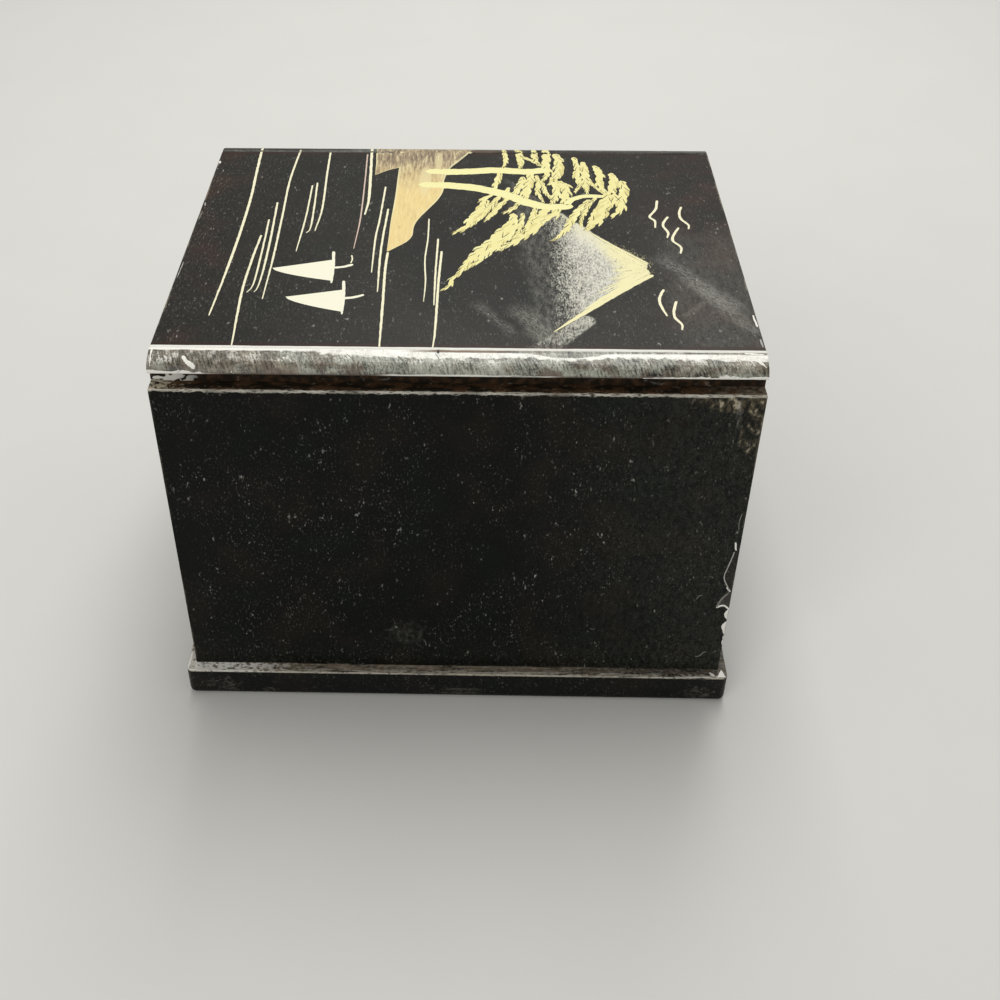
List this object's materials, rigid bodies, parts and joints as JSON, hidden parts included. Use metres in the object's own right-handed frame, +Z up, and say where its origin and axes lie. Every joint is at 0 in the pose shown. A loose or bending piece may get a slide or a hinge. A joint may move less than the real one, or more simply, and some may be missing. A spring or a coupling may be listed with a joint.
{
  "type": "two-drawer box",
  "caption": "Small black lacquered wooden box with stacked drawers, rounded mouldings along both sides of its painted top and a projecting base board.",
  "frame": {"origin": "middle of the base board's underside", "axes": "+Z up, drawers open towards -Y, +X to the right as seen from the drawers' side"},
  "size_m": [0.1146, 0.1365, 0.0947],
  "materials": {
    "black_lacquer": "gloss lacquer, dulled and worn at the edges",
    "drawer_wood": "thin dark red-brown stain, matt",
    "red_felt": "short-pile felt",
    "brass": "turned and tarnished",
    "steel": "dull",
    "gold_paint": "thin pale gold paint, brushed on, worn"
  },
  "bodies": {
    "case": {"top_board": "black_lacquer", "roll_left": "black_lacquer", "roll_right": "black_lacquer", "side_left": "black_lacquer", "side_right": "black_lacquer", "back_panel": "black_lacquer", "divider": "black_lacquer", "base_board": "black_lacquer", "base_brads": "steel"},
    "lower_drawer": {"lower_drawer_front": "black_lacquer", "lower_drawer_side_left": "drawer_wood", "lower_drawer_side_right": "drawer_wood", "lower_drawer_back": "drawer_wood", "lower_drawer_bottom": "drawer_wood", "lower_drawer_lining": "red_felt", "lower_knob_plate": "brass", "lower_knob": "brass", "lower_knob_screw": "steel"},
    "upper_drawer": {"upper_drawer_front": "black_lacquer", "upper_drawer_side_left": "drawer_wood", "upper_drawer_side_right": "drawer_wood", "upper_drawer_back": "drawer_wood", "upper_drawer_bottom": "drawer_wood", "upper_drawer_lining": "red_felt", "upper_knob_plate": "brass", "upper_knob": "brass", "upper_knob_screw": "steel"}
  },
  "joints": [
    {"name": "lower_drawer_slide", "type": "slide", "parent": "case", "child": "lower_drawer", "axis": [0, -1, 0], "range_m": [0, 0.1]},
    {"name": "upper_drawer_slide", "type": "slide", "parent": "case", "child": "upper_drawer", "axis": [0, -1, 0], "range_m": [0, 0.1]}
  ]
}
